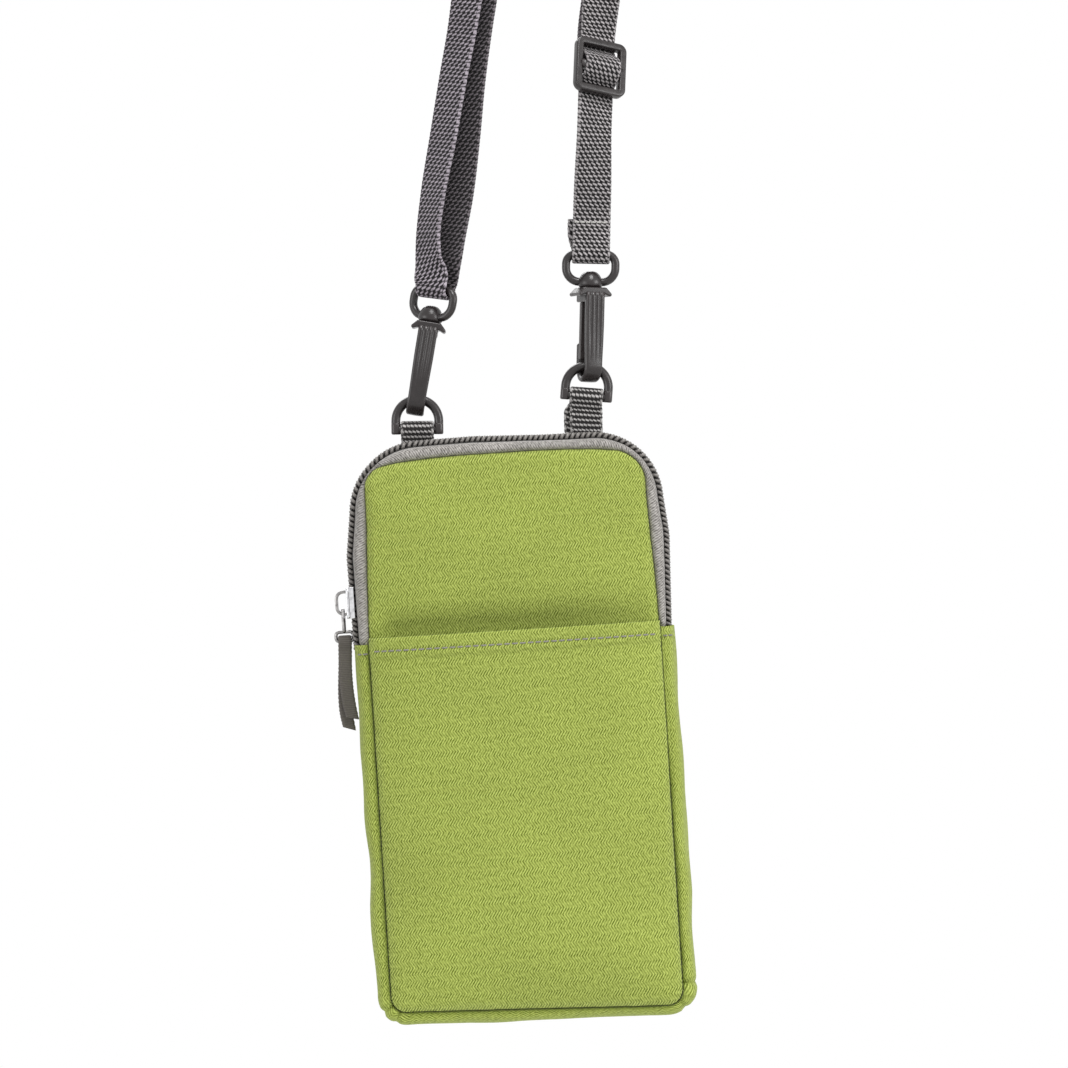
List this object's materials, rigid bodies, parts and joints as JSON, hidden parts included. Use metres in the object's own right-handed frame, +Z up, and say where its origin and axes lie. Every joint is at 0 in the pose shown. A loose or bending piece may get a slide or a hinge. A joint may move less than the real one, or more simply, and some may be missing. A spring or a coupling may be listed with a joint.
{
  "type": "zipped shoulder pouch",
  "caption": "Upright zipped fabric pouch with a front pocket, hung by tabs and D-rings from swivel snap hooks on an adjustable webbing strap.",
  "frame": {"origin": "underside of the strap's inner layer at the top of its loop, where it rests on what it hangs from", "axes": "+Z up along the bag, +X to the right seen from the front, +Y to the back"},
  "size_m": [0.1125, 0.0376, 0.4746],
  "materials": {
    "green_fabric": "woven herringbone, matt",
    "lining": "plain woven lining",
    "foam": "open cell foam",
    "zip_tape": "woven zip tape",
    "zip_teeth": "moulded coil",
    "chrome": "bright plated",
    "pull_ribbon": "grosgrain ribbon",
    "tab_webbing": "flecked webbing",
    "strap_webbing": "flecked webbing",
    "dark_plastic": "moulded satin"
  },
  "bodies": {
    "strap": {"strap_front_layer": "strap_webbing", "strap_back_layer": "strap_webbing", "strap_lower_run": "strap_webbing", "left_hook": "dark_plastic", "right_hook": "dark_plastic"},
    "left_eye": {"left_swivel_eye": "dark_plastic", "left_strap_loop": "strap_webbing"},
    "right_eye": {"right_swivel_eye": "dark_plastic", "right_strap_end": "strap_webbing"},
    "left_gate": {"left_gate": "dark_plastic"},
    "right_gate": {"right_gate": "dark_plastic"},
    "adjuster": {"tri_glide": "dark_plastic", "strap_weave": "strap_webbing", "strap_sewn_end": "strap_webbing"},
    "d_rings": {"left_d_ring": "dark_plastic", "right_d_ring": "dark_plastic"},
    "bag": {"lower_front_wall": "green_fabric", "lower_front_foam": "foam", "lower_front_lining": "lining", "front_pocket": "green_fabric", "back_panel": "green_fabric", "back_foam": "foam", "back_lining": "lining", "gusset": "green_fabric", "zip_tape_back": "zip_tape", "zip_teeth_back": "zip_teeth", "zip_tape_left_end": "zip_tape", "zip_tape_right_end": "zip_tape", "zip_teeth_right_end": "zip_teeth", "left_tab": "tab_webbing", "right_tab": "tab_webbing", "belt_loop": "green_fabric"},
    "front_flap": {"front_panel": "green_fabric", "front_foam": "foam", "front_lining": "lining", "zip_tape_front": "zip_tape", "zip_teeth_front": "zip_teeth"},
    "zip_slider": {"zip_slider": "chrome"},
    "zip_puller": {"zip_puller": "chrome"},
    "zip_pull_tab": {"zip_pull_tab": "pull_ribbon"}
  },
  "joints": [
    {"name": "left_swivel", "type": "hinge", "parent": "strap", "child": "left_eye", "pos_m": [-0.06127, 0, -0.24864], "axis": [0.2233, 0, 0.9748], "continuous": true},
    {"name": "left_gate_press", "type": "hinge", "parent": "strap", "child": "left_gate", "pos_m": [-0.06241, 0.0008, -0.25361], "axis": [-0.9748, 0, 0.2233], "range_deg": [0, 9], "stiffness_Nm_per_rad": 0.05, "springref_deg": -5.73},
    {"name": "right_swivel", "type": "hinge", "parent": "strap", "child": "right_eye", "pos_m": [-0.00947, 0, -0.24089], "axis": [0.0844, 0, 0.9964], "continuous": true},
    {"name": "right_gate_press", "type": "hinge", "parent": "strap", "child": "right_gate", "pos_m": [-0.01018, 0.00075, -0.24595], "axis": [-0.9363, -0.342, 0.0793], "range_deg": [0, 9], "stiffness_Nm_per_rad": 0.05, "springref_deg": -5.73},
    {"name": "adjuster_slide", "type": "slide", "parent": "strap", "child": "adjuster", "axis": [0.1045, 0, 0.9945], "range_m": [-0.012, 0.04], "deforming": ["strap_lower_run", "strap_front_layer", "strap_back_layer"]},
    {"name": "ring_swing", "type": "hinge", "parent": "strap", "child": "d_rings", "pos_m": [-0.0669, 0, -0.2732], "axis": [0.9916, 0, 0.1291], "range_deg": [-30, 30]},
    {"name": "bag_swing", "type": "hinge", "parent": "d_rings", "child": "bag", "pos_m": [-0.06741, 0, -0.28289], "axis": [0.9912, 0, 0.1325], "range_deg": [-45, 45], "deforming": ["left_tab", "right_tab"]},
    {"name": "flap_fold", "type": "hinge", "parent": "bag", "child": "front_flap", "pos_m": [-0.0405, -0.02055, -0.3288], "axis": [1, 0, 0], "range_deg": [0, 50], "deforming": ["zip_teeth_front", "zip_teeth_back", "zip_teeth_right_end"]},
    {"name": "zip_slide", "type": "slide", "parent": "bag", "child": "zip_slider", "axis": [0, 0, 1], "range_m": [-0.002, 0.022], "deforming": ["zip_teeth_front", "zip_teeth_back"]},
    {"name": "puller_swing", "type": "hinge", "parent": "zip_slider", "child": "zip_puller", "pos_m": [-0.09435, -0.00815, -0.33865], "axis": [0, 1, 0], "range_deg": [0, 150]},
    {"name": "tab_swing", "type": "hinge", "parent": "zip_puller", "child": "zip_pull_tab", "pos_m": [-0.09435, -0.00815, -0.34865], "axis": [1, 0, 0], "range_deg": [-75, 75]}
  ]
}
